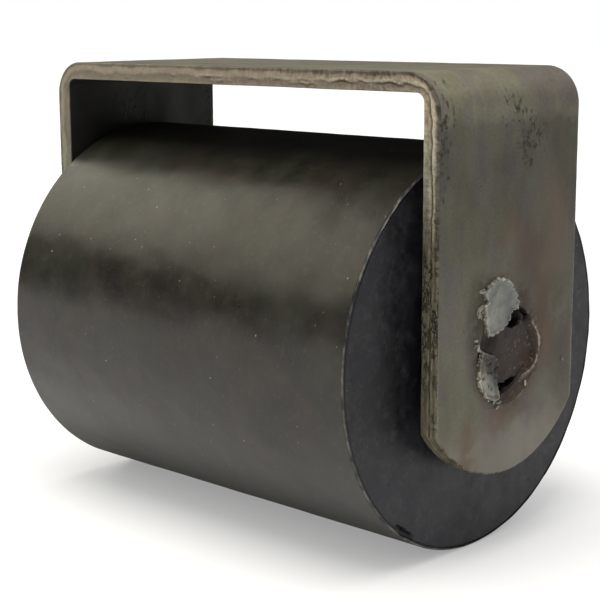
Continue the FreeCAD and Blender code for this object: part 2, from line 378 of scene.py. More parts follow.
def rubber_side_finish():
    """The roller's running face: black rubber, faintly wavy, dusty and rubbed to a brown grey."""
    paint = Finish("rubber_running_face", specular=0.44)
    paint.shader.inputs["Specular Tint"].default_value = (1.0, 0.965, 0.93, 1.0)
    place = paint.place()
    paint.colour = paint.shades(place.noise(24), (0.30, (33, 31, 27)), (0.42, (45, 40, 35)),
                                (0.50, (38, 38, 31)), (0.58, (42, 43, 37)), (0.70, (50, 46, 42)))
    smudges = place.noise(9, detail=4)
    paint.tint(smudges, (0.36, 0.76), (0.64, 1.28))
    dust = place.noise(1.8, detail=5, roughness=0.7)
    paint.cover(dust.level(0.5, 0.8, 0.0, 0.25), 104, 98, 84)
    paint.cover(place.noise(1.3, detail=1).level(0.77, 0.81), 142, 137, 126)
    paint.bump(place.noise(26, detail=2, stretch=(1, 0.7, 1)), 1.0, 1.0)
    paint.bump(place.noise(0.35, roughness=0.7), 0.03, 0.4)
    paint.bump(dust, 0.03, 0.18)
    facing = paint.value("LayerWeight", {"Blend": 0.5}, "Facing")
    return paint.done(smudges.level(0.3, 0.7, 0.27, 0.30) + facing.level(0.5, 1.0, 0.0, 0.5))


def rubber_end_finish():
    """The roller's cut ends: blue black rubber, smeared and dented, with faint rings left by the lathe,
    a dark line of painted shade inside the rim, and a worn rim."""
    paint = Finish("rubber_cut_end", specular=0.36)
    place = paint.place()
    paint.colour = paint.shades(place.noise(15, detail=4), (0.34, (33, 36, 37)), (0.48, (38, 37, 45)),
                                (0.62, (49, 49, 54)))
    smudges = place.noise(5, detail=5, roughness=0.65)
    paint.tint(smudges, (0.36, 0.60), (0.64, 1.40))
    scuffs = place.noise(2.4, detail=5, roughness=0.75)
    paint.cover(scuffs.level(0.46, 0.74, 0.0, 0.42), 88, 88, 91)
    ring_place = paint.value("CombineXYZ", {0: paint.axle_distance()})
    rings = ring_place.noise(1.1, detail=4, roughness=0.7)
    paint.tint(rings, (0.3, 0.88), (0.7, 1.12))
    dents = place.noise(2.6, detail=2).level(0.70, 0.80, 0.0, 0.8)
    paint.cover(dents, 17, 17, 20)
    paint.cover(place.noise(1.2, detail=1).level(0.80, 0.84), 120, 118, 112)
    # painted shade: a dark line just inside the rim
    paint.cover(paint.attribute("painted_rim_shade"), 13, 13, 14)
    paint.cover(paint.attribute("wear"), 158, 155, 141)
    paint.bump(rings, 0.06, 0.5)
    paint.bump(dents, -0.15, 0.8)
    return paint.done(smudges.level(0.3, 0.7, 0.42, 0.58))


def axle_finish():
    """The axle: drawn steel, its ends burnt dark brown and flecked with rust, with painted shade and
    highlights.
    """
    paint = Finish("axle_burnt_steel", metallic=0.2, specular=0.35)
    place = paint.place()
    clouds = place.noise(5, detail=4)
    paint.colour = paint.shades(clouds, (0.3, (48, 39, 35)), (0.5, (64, 52, 46)), (0.7, (80, 64, 54)))
    hand = place.axis("X") * place.axis("Y")
    flecks = place.noise(1.0).level(0.55, 0.68) * hand.level(1e-4, -3e-4, 0.1, 1.0)
    paint.cover(flecks, 126, 104, 85)
    leg = paint.leg_place()
    for spot in axle_dark_spots:
        paint.cover(leg.spot(*spot), 29, 24, 22)
    paint.cover(paint.attribute("dust"), 100, 88, 76)
    # painted shade in the hollows of the ends and at the slag's start
    paint.cover(paint.attribute("pit"), 22, 19, 17)
    # painted highlight along the slag's crest
    paint.cover(paint.attribute("lip"), 214, 200, 190)
    paint.bump(flecks, 0.15, 0.8)
    return paint.done(clouds.level(0.3, 0.7, 0.5, 0.72))


def weld_finish():
    """Weld metal: pale grey with a rippled skin, charred and dark in its hollows, with bright rims painted
    as highlights.
    """
    paint = Finish("weld_bead_metal", metallic=0.45)
    place = paint.place()
    paint.colour = paint.shades(place.noise(5, detail=4), (0.35, (90, 95, 95)), (0.5, (112, 117, 113)),
                                (0.65, (144, 146, 138)))
    grain = place.noise(0.8, detail=4, roughness=0.7)
    paint.tint(grain, (0.3, 0.70), (0.7, 1.20))
    ash = paint.shades(grain, (0.36, (30, 24, 21)), (0.54, (60, 48, 43)), (0.66, (110, 86, 79)))
    paint.mix(paint.attribute("pit"), ash)
    # painted highlights on the beads' rims, and pale drops of spatter
    paint.cover(paint.attribute("lip"), 208, 202, 186)
    paint.bump(grain, 0.12, 0.6)
    return paint.done(grain.level(0.3, 0.7, 0.34, 0.55))


roughness_swing = 0.08        # of the inner pieces


def machined_finish(name, tone, roughness):
    """Turned or drawn steel of one tone, stained in places, with fine marks round the axle."""
    paint = Finish(name, metallic=0.85)
    place = paint.place()
    paint.colour = (*srgb(*tone), 1.0)
    paint.tint(place.noise(9, detail=4), (0.0, 0.78), (1.0, 1.0))
    turned_place = paint.value("CombineXYZ", {0: paint.axle_distance(), 1: place.axis("Y")})
    marks = turned_place.noise(0.4)
    paint.bump(marks, 0.02, 0.5)
    return paint.done(marks.level(0.3, 0.7, roughness - roughness_swing, roughness + roughness_swing))


def moulded_finish(name, tone, roughness):
    """Moulded plastic or rubber of one tone, with a fine grain."""
    paint = Finish(name)
    place = paint.place()
    paint.colour = (*srgb(*tone), 1.0)
    paint.tint(place.noise(6), (0.0, 0.75), (1.0, 1.0))
    grain = place.noise(0.5)
    paint.bump(grain, 0.03, 0.4)
    return paint.done(grain.level(0.3, 0.7, roughness - roughness_swing, roughness + roughness_swing))


# Mesh helpers

sharp_angle = math.radians(34)


class Skin:
    """A mesh in the making: points, faces, and numbers kept for each point."""

    def __init__(self, *keys):
        self.points = []
        self.faces = []
        self.numbers = {key: [] for key in keys}

    def add(self, point, **given):
        """Add a point with its numbers and give its index."""
        self.points.append(point)
        for key, values in self.numbers.items():
            values.append(given.get(key, 0.0))
        return len(self.points) - 1

    def join(self, low, high, closed=True):
        """Faces between two rows of points. A row that is one point all along gives triangles."""
        count = len(low)
        for index in range(count if closed else count - 1):
            after = (index + 1) % count
            loop = (low[index], low[after], high[after], high[index])
            self.faces.append(tuple(dict.fromkeys(loop)))

    def piece(self, name, *materials):
        """The mesh as an object, smooth except at sharp edges."""
        mesh = bpy.data.meshes.new(name)
        mesh.from_pydata(self.points, [], self.faces)
        for material in materials:
            mesh.materials.append(material)
        for key, values in self.numbers.items():
            mesh.attributes.new(key, "FLOAT", "POINT").data.foreach_set("value", values)
        work = bmesh.new()
        work.from_mesh(mesh)
        bmesh.ops.recalc_face_normals(work, faces=work.faces)
        work.to_mesh(mesh)
        work.free()
        mesh.shade_smooth()
        mesh.set_sharp_from_angle(angle=sharp_angle)
        piece = bpy.data.objects.new(name, mesh)
        bpy.context.scene.collection.objects.link(piece)
        return piece


def bumpy(x, y, z, grain, octaves=3):
    """Fractal noise, about -1 to 1, with features of the size grain."""
    return noise.fractal(Vector((x, y, z)) / grain, 1.0, 2.0, octaves)


def fade(value, low, high):
    """A value from low to high as a share from 0 to 1."""
    return min(1.0, max(0.0, (value - low) / (high - low)))


# Bracket: a flat strip with round, bored ends, bent to a U

columns = 60
band_rows = 260
side_rows = 44
arc_columns = 64
bore_rings = 24
edge_rows = 24
bore_patch = 30 * MM          # the bored end's patch starts this far above the axle
bend_creep = 18 * MM          # beside a bend the strip's inner face is stretched over this length
face_wave = 0.06 * MM
# Scores: share of the thickness, usual force where the edge is smooth and where it is torn
score_lines = ((0.64, -0.45, 0.95), (0.86, -0.50, 0.0))
leg_score_rise = 0.16         # on a leg the scores lie this share nearer to the outer face
score_wander = 0.40 * MM
score_arc = 7 * MM            # on the web a score runs in small arcs of about this length
score_scallop = 0.75 * MM
score_width = 0.26 * MM
score_depth = 0.28 * MM
burr_width = 0.26 * MM
burr_rise = 0.15 * MM
edge_grain = 0.07 * MM


def face_place(reach, sink, radius):
    """Y and Z of a face of the bracket at a reach along the strip from the web's middle. The face lies
    a sink below the outer one, and its bends have this radius."""
    bend_start = leg_outer - sink - radius
    if reach <= web_half:
        creep = max(0.0, 1 - (web_half - reach) / bend_creep)
        return reach + creep * (bend_start - web_half), -sink
    if reach <= leg_start:
        turn = (reach - web_half) / (leg_start - web_half) * math.pi / 2
        return bend_start + radius * math.sin(turn), radius * (math.cos(turn) - 1) - sink
    creep = max(0.0, 1 - (reach - leg_start) / bend_creep)
    return leg_outer - sink, leg_start - reach - bend_radius + creep * (bend_radius - sink - radius)


def bent(across, along, depth):
    """Where a point of the flat strip, at a depth below its outer face, lies on the bracket."""
    share = depth / thickness
    outer_y, outer_z = face_place(abs(along), 0.0, bend_radius)
    inner_y, inner_z = face_place(abs(along), thickness, inner_bend_radius)
    y = outer_y + (inner_y - outer_y) * share
    z = outer_z + (inner_z - outer_z) * share
    return Vector((across, math.copysign(y, along), z))


class FlatStrip(Skin):
    """The strip before bending, with points (across, along), and its rims with their way out."""

    def __init__(self):
        super().__init__()
        self.way_out = {}
        self.band_end = leg_along(axle_height + bore_patch)
        self.inset_half = half_width - corner
        self.band = [self.band_row(row) for row in range(band_rows + 1)]
        for low, high in zip(self.band, self.band[1:]):
            self.join(low, high, closed=False)
        near_rim, near_bore = self.bored_end(-1)
        far_rim, far_bore = self.bored_end(1)
        right = [row[columns] for row in self.band]
        left = [row[0] for row in reversed(self.band)]
        self.rims = [right + far_rim + left + near_rim[::-1], near_bore, far_bore[::-1]]

    def put(self, across, along, way_out=None):
        index = self.add((across, along))
        if way_out is not None:
            self.way_out[index] = Vector(way_out)
        return index

    def band_row(self, row):
        along = self.band_end * (2 * row / band_rows - 1)
        indices = []
        for column in range(columns + 1):
            share = 2 * column / columns - 1
            way_out = (share * corner, 0) if abs(share) == 1 else None
            indices.append(self.put(share * self.inset_half, along, way_out))
        return indices

    def bored_end(self, side):
        """One leg's end, in rings from its rim to the axle's bore."""
        inset_radius = leg_end_radius - corner
        arc_centre = leg_along(leg_bottom + leg_end_radius)
        shoulder = arc_centre + math.sqrt(inset_radius ** 2 - self.inset_half ** 2)
        true_shoulder = arc_centre + math.sqrt(leg_end_radius ** 2 - half_width ** 2)
        corner_out = side * (true_shoulder - shoulder)
        half_turn = math.asin(self.inset_half / inset_radius)

        def side_point(hand, row):
            along = self.band_end + (shoulder - self.band_end) * row / side_rows
            way_out = (hand * corner, corner_out if row == side_rows else 0)
            return self.put(hand * self.inset_half, side * along, way_out)

        rim = [side_point(1, row) for row in range(1, side_rows + 1)]
        for column in range(1, arc_columns):
            turn = half_turn * (1 - 2 * column / arc_columns)
            out = Vector((math.sin(turn), side * math.cos(turn)))
            along = side * arc_centre + inset_radius * out.y
            rim.append(self.put(inset_radius * out.x, along, corner * out))
        rim += [side_point(-1, row) for row in range(side_rows, 0, -1)]
        outer = self.band[-1 if side > 0 else 0] + rim
        axle = Vector((0, side * leg_along(axle_height)))
        start = [Vector(self.points[index]) for index in outer]
        for ring in range(1, bore_rings + 1):
            inner = []
            for place in start:
                out = (place - axle).normalized()
                end = axle + out * (hole_radius + corner)
                spot = place.lerp(end, ring / bore_rings)
                inner.append(self.put(spot.x, spot.y, -corner * out if ring == bore_rings else None))
            if side > 0:
                self.join(outer, inner)
            else:
                self.join(inner, outer)
            outer = inner
        return rim, outer


def edge_profile():
    """Steps over the bar's edge, from its outer to its inner face: share of the way out, depth."""
    rounded = [(math.sin(turn), corner * (1 - math.cos(turn)))
               for turn in (math.pi / 6, math.pi / 3, math.pi / 2)]
    flat = [(1.0, corner + (thickness - 2 * corner) * row / edge_rows) for row in range(1, edge_rows)]
    return rounded + flat + [(share, thickness - depth) for share, depth in rounded[::-1]]


def edge_relief(across, along, travel, depth):
    """Rise of a slit edge, its score and its burr, at a place on the strip, a travel round its rim
    and a depth."""
    score = 0.0
    burr = 0.0
    torn = fade(across * along, torn_from, torn_to)
    low = fade(abs(along), leg_along(-30 * MM), leg_along(-45 * MM))
    on_leg_share = fade(abs(along), web_half, leg_start + 10 * MM)
    for index, (share, smooth_force, torn_force) in enumerate(score_lines):
        line = index * 9 * MM
        phase = math.pi * travel / score_arc + 2.2 * bumpy(travel, line, 20 * MM, 9 * MM)
        scallop = torn * (1 - 0.6 * on_leg_share) * score_scallop * (0.5 - abs(math.sin(phase)))
        wander = score_wander * bumpy(travel, line, 0, 16 * MM) + scallop
        swell = bumpy(travel, line, 40 * MM, 14 * MM) + (0.6 + low) * bumpy(travel, line, 80 * MM, 3 * MM)
        usual_force = smooth_force + (torn_force - smooth_force) * torn - 0.4 * low
        force = fade(usual_force + 1.2 * swell, 0.0, 1.0)
        middle = (share - leg_score_rise * on_leg_share) * thickness + wander
        score += force * math.exp(-((depth - middle) / score_width) ** 2)
        burr += force * math.exp(-((depth - middle + 2.6 * burr_width) / burr_width) ** 2)
    for edge, force in ((0.0, 0.15 + 0.5 * fade(across, 0.0, 10 * MM)), (thickness, 0.9)):
        broken = fade(bumpy(travel, edge, 60 * MM, 4 * MM), -0.5, 0.5)
        burr += force * broken * math.exp(-((depth - edge) / burr_width) ** 2)
    score = min(score, 1.0)
    burr = min(burr, 1.0)
    grain = bumpy(travel, 3 * depth, 0, 1.6 * MM)
    return edge_grain * grain - score_depth * score + burr_rise * burr, score, burr


def make_bracket():
    strip = FlatStrip()
    bar = Skin("score", "burr")
    strip_places = []

    def add(across, along, depth, **given):
        strip_places.extend((across, along, depth))
        return bar.add(bent(across, along, depth), **given)

    count = len(strip.points)
    for depth in (0.0, thickness):
        for across, along in strip.points:
            add(across, along, depth + face_wave * bumpy(across, along, depth, 14 * MM))
    bar.faces += strip.faces
    bar.faces += [tuple(count + index for index in quad[::-1]) for quad in strip.faces]
    rolled = len(bar.faces)
    for rim in strip.rims:
        travel = 0.0
        before = None
        rows = []
        for index in rim:
            base = Vector(strip.points[index])
            out = strip.way_out[index]
            if before is not None:
                travel += (base - before).length
            before = base
            row = [index]
            for share, depth in edge_profile():
                rise, score, burr = edge_relief(base.x, base.y, travel, depth)
                spot = base + out * share + out.normalized() * rise * share
                row.append(add(spot.x, spot.y, depth, score=score * share, burr=burr * share))
            rows.append(row + [count + index])
        for row, after in zip(rows, rows[1:] + rows[:1]):
            bar.join(row, after, closed=False)
    piece = bar.piece("bracket_bar", scale_finish(), cut_finish())
    kept_places = piece.data.attributes.new("strip", "FLOAT_VECTOR", "POINT")
    kept_places.data.foreach_set("vector", strip_places)
    for face in piece.data.polygons[rolled:]:
        face.material_index = 1
    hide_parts("mounting_bracket")
    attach(piece, "bracket")


# Turned pieces

def outline(*corners):
    """Points (radius, along) through corners, each with the number of rows that lead to it."""
    points = [corners[0][:2]]
    for radius, along, rows in corners[1:]:
        first_radius, first_along = points[-1]
        for row in range(1, rows + 1):
            points.append((first_radius + (radius - first_radius) * row / rows,
                           first_along + (along - first_along) * row / rows))
    return points


def add_turned(skin, profile, sectors, shape):
    """A profile (radius, along) turned about the axle, closed or with a pole where its radius is 0.
    shape gives the moved radius and place along for each point of the surface."""
    rows = []
    for radius, along in profile:
        if radius == 0:
            rows.append([skin.add(Vector((0, along, axle_height)))] * sectors)
            continue
        row = []
        for sector in range(sectors):
            angle = 2 * math.pi * sector / sectors
            out, far = shape(radius, along, angle)
            row.append(skin.add(Vector((out * math.cos(angle), far, axle_height + out * math.sin(angle)))))
        rows.append(row)
    if profile[0][0] != 0:
        rows.append(rows[0])
    for low, high in zip(rows, rows[1:]):
        skin.join(low, high)


rubber_sectors = 360
rim_chamfer = 0.5 * MM
rim_lip = 0.15 * MM
rim_band = 3 * MM             # finer rows on the end faces, next to the rim
rim_rows = 10
rim_wear = 0.62               # share of the worn tone, at most
seam_depth = 0.15 * MM        # a groove just inside the rim, painted dark as its shade
# share of painted shade on the groove
painted_rim_shade_share = 0.9
mouth_radius = bearing_high.x + 1 * MM
nick_angle = math.radians(-125)         # a gouge in the near end, just inside its rim
nick_radius = 52.6 * MM
nick_half_length = 4.4 * MM
nick_half_width = 0.95 * MM
nick_depth = 1.6 * MM


def make_rubber():
    near = rubber_low.y
    far = rubber_high.y
    face_rim = rubber_radius - rim_chamfer
    lip_radius = face_rim - rim_lip
    seam_radius = lip_radius - (rim_band - rim_lip) / rim_rows
    near_tube = tube_low.y
    far_tube = tube_high.y
    profile = outline((tube_radius, near_tube, 0), (tube_radius, far_tube, 8), (mouth_radius, far_tube, 2),
                      (mouth_radius, far, 2), (face_rim - rim_band, far, 18), (lip_radius, far, rim_rows),
                      (face_rim, far, 2), (rubber_radius, far - rim_chamfer, 3),
                      (rubber_radius, near + rim_chamfer, 48), (face_rim, near, 3), (lip_radius, near, 2),
                      (face_rim - rim_band, near, rim_rows), (mouth_radius, near, 18),
                      (mouth_radius, near_tube, 2), (tube_radius, near_tube, 2))[:-1]

    def on_seam(radius):
        return abs(radius - seam_radius) < 0.1 * MM

    def shape(radius, along, angle):
        x = radius * math.cos(angle)
        z = radius * math.sin(angle)
        out = radius
        move = 0.0
        if radius > face_rim - 1.5 * rim_lip:
            out += 0.09 * MM * bumpy(x, along, z, 12 * MM)
            if abs(radius - face_rim) < 0.5 * rim_lip:
                burr = 0.10 * MM * (1 + bumpy(x, along, z, 5 * MM))
                move = math.copysign(burr, along)
        if on_seam(radius):
            move = -math.copysign(seam_depth, along)
        if along == near:
            arc = math.remainder(angle - nick_angle, 2 * math.pi) * radius / nick_half_length
            across = (radius - nick_radius + 0.25 * MM * bumpy(x, 0, z, 2 * MM)) / nick_half_width
            move += nick_depth * max(0.0, 1 - arc * arc - across * across) ** 0.5
        return out, along + move

    body = Skin("wear", "painted_rim_shade")
    add_turned(body, profile, rubber_sectors, shape)
    for index, point in enumerate(body.points):
        radius = math.hypot(point.x, point.z - axle_height)
        end = min(point.y - near, far - point.y)
        uneven = bumpy(*point, 7 * MM) + 0.8 * bumpy(*point, 1.6 * MM)
        if radius > face_rim + 0.25 * rim_chamfer and end < 0.9 * rim_chamfer:
            body.numbers["wear"][index] = rim_wear * fade(uneven, -0.35, 0.65)
        if on_seam(radius) and end < seam_depth + 0.01 * MM:
            body.numbers["painted_rim_shade"][index] = painted_rim_shade_share * fade(uneven, -1.2, 0.2)
    piece = body.piece("roller_rubber_body", rubber_side_finish(), rubber_end_finish())
    for face in piece.data.polygons:
        if abs(face.normal.y) > 0.5:
            face.material_index = 1
    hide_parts("rubber_roller")
    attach(piece, "roller")


# Axle and welds

axle_sectors = 128
axle_chamfer = 0.5 * MM
# Burnt hollows in both ends, painted darker with depth as shade, in millimetres: across, up, half width,
# half height, tilt in degrees, depth
axle_pits = ((3.2, 9.5, 3.5, 2.7, 0, 3.5), (-2.4, -9.0, 3.0, 1.5, 8, 2.6), (2.2, -7.8, 2.8, 0.95, 13, 2.6))
pit_reach = 4 * MM            # the hollows end this far below the axle's ends
pit_dark = 0.8 * MM           # and are painted darkest, as shade, from this depth on

# Slag between axle and leg, across and up from the axle in millimetres.
# Its crest is a lip with a painted highlight down to the turn and a low brown spill after it.
slag_crest = ((8.3, 9.3), (8.9, 8.6), (9.5, 8.0), (10.4, 7.0), (12.0, 5.2), (13.3, 3.2), (13.7, 1.2),
              (13.4, -1.0), (12.1, -4.0), (9.8, -5.5), (7.0, -6.6), (4.0, -8.6), (0.5, -10.0),
              (-3.0, -10.7), (-6.0, -11.2))
slag_stations = 120
lip_start = 0.15              # shares of the crest
slag_turn = 0.66
slag_outer_radius = hole_radius + 1.3 * MM


def on_leg(side, across, up, out):
    """A point by a leg's axle hole. The far leg is the near one turned half round about Z."""
    return Vector((side * -across, side * (leg_outer + out), axle_height + up))


def smooth_line(corners, count, closed):
    """A smooth curve through corners, as count points."""
    total = len(corners)
    line = []
    for index in range(count):
        place = index * total / count if closed else index * (total - 1) / (count - 1)
        start = min(int(place), total - 1 if closed else total - 2)
        share = place - start
        near_by = []
        for step in (-1, 0, 1, 2):
            other = (start + step) % total if closed else min(max(start + step, 0), total - 1)
            near_by.append(Vector(corners[other]))
        before, first, second, after = near_by
        line.append(0.5 * (2 * first + (second - before) * share
                           + (2 * before - 5 * first + 4 * second - after) * share ** 2
                           + (3 * first - before - 3 * second + after) * share ** 3))
    return line


def add_slag(bar, side):
    """A closed ridge of slag along its crest, from the axle's end out to the leg's face. It starts
    black, burnt and painted as the shade in the axle's hole, and its outer slope takes the leg's tone."""
    rows = []
    for station, spot in enumerate(smooth_line(slag_crest, slag_stations, closed=False)):
        share = station / (slag_stations - 1)
        crest = spot * MM
        out = crest.normalized()
        spill = fade(share, slag_turn - 0.06, slag_turn + 0.10)
        steep = (1 - spill) * MM
        taper = min(fade(share, 0.0, 0.05), fade(1 - share, 0.0, 0.06))
        inner = crest - out * MM * (1.9 - 1.3 * spill)
        ragged = taper * 0.9 * MM * (1 + bumpy(crest.x, crest.y, 7 * side, 2.2 * MM))
        outer = out * (max(crest.length + 0.9 * MM, slag_outer_radius) + ragged)
        top = MM * (-1.2 + taper * (1.55 - 0.65 * spill))
        section = ((inner, -1.2 * MM), (inner.lerp(crest, 0.45), top - 0.55 * steep),
                   (inner.lerp(crest, 0.75), top - 0.2 * steep), (crest, top),
                   (crest.lerp(outer, 0.35), top - 0.25 * steep),
                   (crest.lerp(outer, 0.7), 0.5 * top - 0.05 * MM), (outer, -0.15 * MM),
                   (crest.lerp(outer, 0.5), -2.2 * MM))
        # painted highlight along the crest
        bright = (1 - spill) * fade(share, lip_start, lip_start + 0.05)
        # painted shade: the start is black inside the hole
        burnt = 0.9 * fade(lip_start + 0.06 - share, 0.0, 0.10)
        row = []
        for place, height in section:
            lumps = 0.22 * MM * bumpy(*place, side, 1.6 * MM)
            uneven = bumpy(*place, side, 3 * MM) + 0.6 * bumpy(*place, 3 * side, 1.0 * MM)
            lip = bright * fade(uneven, -0.8, 0.2) if place is crest else 0.0
            pit = burnt * fade(place.length, hole_radius + 0.3 * MM, hole_radius - 0.3 * MM)
            dust = 0.9 * fade(place.length, hole_radius - 0.5 * MM, hole_radius + 0.8 * MM)
            row.append(bar.add(on_leg(side, *place, height + lumps), lip=lip, pit=pit, dust=dust))
        rows.append(row)
    for low, high in zip(rows, rows[1:]):
        bar.join(low, high)
    bar.faces += [tuple(rows[0]), tuple(rows[-1][::-1])]


def make_axle():
    rim = axle_radius - axle_chamfer
    shoulder = axle_end - axle_chamfer
    profile = outline((0, -axle_end, 0), (rim, -axle_end, 24), (axle_radius, -shoulder, 2),
                      (axle_radius, shoulder, 30), (rim, axle_end, 2), (0, axle_end, 24))

    def pit(radius, angle, side):
        """How deep the end is burnt away."""
        spot = Vector((-side * radius * math.cos(angle), radius * math.sin(angle))) / MM
        depth = 0.0
        for across, up, half_long, half_tall, tilt, deep in axle_pits:
            away = Matrix.Rotation(math.radians(-tilt), 2) @ (spot - Vector((across, up)))
            gap = (away.x / half_long) ** 2 + (away.y / half_tall) ** 2
            depth = max(depth, deep * max(0.0, 1 - gap) ** 0.5)
        return depth * MM

    def shape(radius, along, angle):
        if abs(along) < axle_end - 2 * axle_chamfer:
            return radius, along
        side = math.copysign(1, along)
        rough = 0.12 * MM * bumpy(radius * math.cos(angle), along, radius * math.sin(angle), 3 * MM)
        return radius, along + side * (rough - pit(radius, angle, side))

    bar = Skin("pit", "lip", "dust")
    add_turned(bar, profile, axle_sectors, shape)
    for index, point in enumerate(bar.points):
        if abs(point.y) > axle_end - pit_reach:
            radius = math.hypot(point.x, point.z - axle_height)
            angle = math.atan2(point.z - axle_height, point.x)
            sunk = pit(radius, angle, math.copysign(1, point.y))
            bar.numbers["pit"][index] = min(1.0, sunk / pit_dark)
    for side in (-1, 1):
        add_slag(bar, side)
    piece = bar.piece("axle_bar", axle_finish())
    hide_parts("axle_pin")
    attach(piece, "bracket")


# Outlines of a leg's two beads, across and up from the axle, and drops beside them with their radius,
# all in millimetres
upper_outline = ((-4.6, 21.1), (-0.2, 19.2), (1.4, 17.0), (3.2, 13.6), (3.2, 11.8), (0.6, 11.9),
                 (-1.0, 9.2), (-5.0, 6.9), (-9.6, 6.4), (-10.6, 9.5), (-11.3, 14.0), (-10.5, 15.7),
                 (-11.5, 17.9), (-9.4, 19.4))
lower_outline = ((-11.8, 2.7), (-7.6, 1.4), (-5.4, 0.1), (-5.1, -2.9), (-5.9, -5.9), (-4.6, -9.3),
                 (-4.8, -11.2), (-8.4, -10.7), (-11.0, -8.4), (-12.8, -5.7), (-13.0, -0.5), (-12.4, 1.2))
upper_drops = ((-11.9, 18.3, 0.8), (-12.6, 14.0, 0.9), (-13.4, 13.0, 0.9), (-12.4, 12.2, 0.8),
               (2.2, 16.4, 0.7), (2.9, 15.2, 0.7), (3.4, 13.2, 0.7), (1.2, 18.0, 0.6))
lower_drops = ((-14.1, 6.0, 0.6), (-14.0, 4.6, 0.6), (-13.2, 3.7, 0.7), (-12.3, 3.0, 0.6),
               (-4.2, -11.9, 0.8), (-4.4, -13.1, 0.6), (7.8, -9.0, 0.55), (25.0, -5.2, 0.5))
golden_turn = 2.4             # radians, so that no two drops in a row lie alike
weld_sectors = 144
weld_rings = 26
weld_ragged = 0.80 * MM
weld_edge = 0.06              # share of its reach in which a bead rises
weld_foot = 0.15 * MM         # how far below the axle's end a bead reaches down
crumb_step = 4                # a crumb may stand at every so many points of a bead's rim
crumb_radius = 0.55 * MM


def add_blob(weld, centre, radius, seed, pale):
    """A lumpy drop of spatter, flat on the leg. The seed gives its turn and its lumps."""
    work = bmesh.new()
    bmesh.ops.create_icosphere(work, subdivisions=2, radius=radius)
    start = len(weld.points)
    turn = Matrix.Rotation(golden_turn * seed, 3, "Y") @ Matrix.Diagonal((1.45, 0.6, 0.75))
    for vertex in work.verts:
        lump = 1 + 0.5 * bumpy(vertex.co.x + seed, vertex.co.y, vertex.co.z, 1.2 * radius)
        weld.add(centre + turn @ (vertex.co * lump), pit=0.5 * (1 - pale), lip=0.8 * pale)
    for face in work.faces:
        weld.faces.append(tuple(start + vertex.index for vertex in face.verts))
    work.free()


def make_weld(name, side, corners, drops, height, dish, burnt, bright):
    """A bead of weld metal over the joint of axle and leg, with drops of spatter beside it. dish is how far
    its middle sinks below its rim. Above and right of burnt it is charred, and towards bright its rim
    has a painted highlight and its skin is painted paler, as the lit side."""
    weld = Skin("pit", "lip")
    rim = [point * MM for point in smooth_line(corners, weld_sectors, closed=True)]
    middle = sum(rim, Vector((0, 0))) / len(rim)
    base = axle_end - leg_outer - weld_foot
    bright = Vector(bright)
    crest = 1 - weld_edge

    def add_top(point, share):
        """A point on top of the bead, at a share of the way from its middle to a point of its rim."""
        reach = point - middle
        way = reach.normalized()
        ragged = weld_ragged * share ** 4 * bumpy(*point, side, 1.1 * MM)
        spot = middle + reach * share + way * ragged

        def uneven(layer, grain, low, high):
            return fade(bumpy(*spot, layer * side, grain), low, high)

        crown = (1 - fade(share, crest, 1.0) ** 2) ** 0.5
        hollow = dish * fade(crest - share, 0.0, 0.15)
        lumps = 0.15 * MM * bumpy(*spot, side, 2.6 * MM)
        holes = fade(0.85 - share, 0.0, 0.15) * fade(dish, 0.2 * MM, 0.4 * MM)
        holes *= uneven(3, 1.2 * MM, 0.25, 0.6)
        char = max(fade(spot.y, burnt - 3 * MM, burnt + 2 * MM),
                   fade(spot.x, burnt - 3 * MM, burnt + 1 * MM))
        # painted highlight on the rim towards bright
        edge = fade(way.dot(bright), -0.5, 0.3) * fade(share, crest - 0.05, crest - 0.02)
        edge *= uneven(5, 1.8 * MM, -0.6, 0.2)
        # painted light: the skin paler towards bright
        pale = 0.4 * fade((spot - middle).dot(bright), -1 * MM, 4 * MM)
        out = crown * height - hollow + lumps * (1 - share ** 8) - 0.6 * dish * holes
        return weld.add(on_leg(side, *spot, out), pit=max(0.9 * char, 0.3 * holes),
                        lip=max(0.8 * edge, pale))

    rows = [[weld.add(on_leg(side, *middle, height - dish))] * weld_sectors]
    for ring in range(1, weld_rings + 1):
        share = 1 - (1 - ring / weld_rings) ** 1.8
        rows.append([add_top(point, share) for point in rim])
    edges = [weld.points[index] for index in rows[-1]]
    rows.append([weld.add(Vector((edge.x, side * (leg_outer + base), edge.z))) for edge in edges])
    rows.append([weld.add(on_leg(side, *middle, base))] * weld_sectors)
    for low, high in zip(rows, rows[1:]):
        weld.join(low, high)
    blobs = [(Vector((across, up)) * MM, radius * MM) for across, up, radius in drops]
    for point in rim[::crumb_step]:
        size = bumpy(*point, 9 * side, 1.5 * MM)
        if size > 0:
            blobs.append((point, crumb_radius * min(1.0, 0.45 + size)))
    for seed, (spot, radius) in enumerate(blobs):
        pale = fade(bumpy(*spot, 11 * side, 1 * MM), -0.6, 0.8)
        add_blob(weld, on_leg(side, *spot, 0.1 * MM), radius, seed, pale)
    piece = weld.piece(name, weld_finish())
    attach(piece, "bracket")
    return piece


def make_welds():
    for end, side in (("near", -1), ("far", 1)):
        upper = make_weld(f"{end}_upper_bead", side, upper_outline, upper_drops,
                          height=1.1 * MM, dish=0.15 * MM, burnt=30 * MM, bright=(0, 0))
        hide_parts(f"{end}_upper_tack_weld")
        lower = make_weld(f"{end}_lower_bead", side, lower_outline, lower_drops,
                          height=0.9 * MM, dish=0.5 * MM, burnt=-4 * MM, bright=(-0.8, -0.6))
        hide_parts(f"{end}_lower_tack_weld")


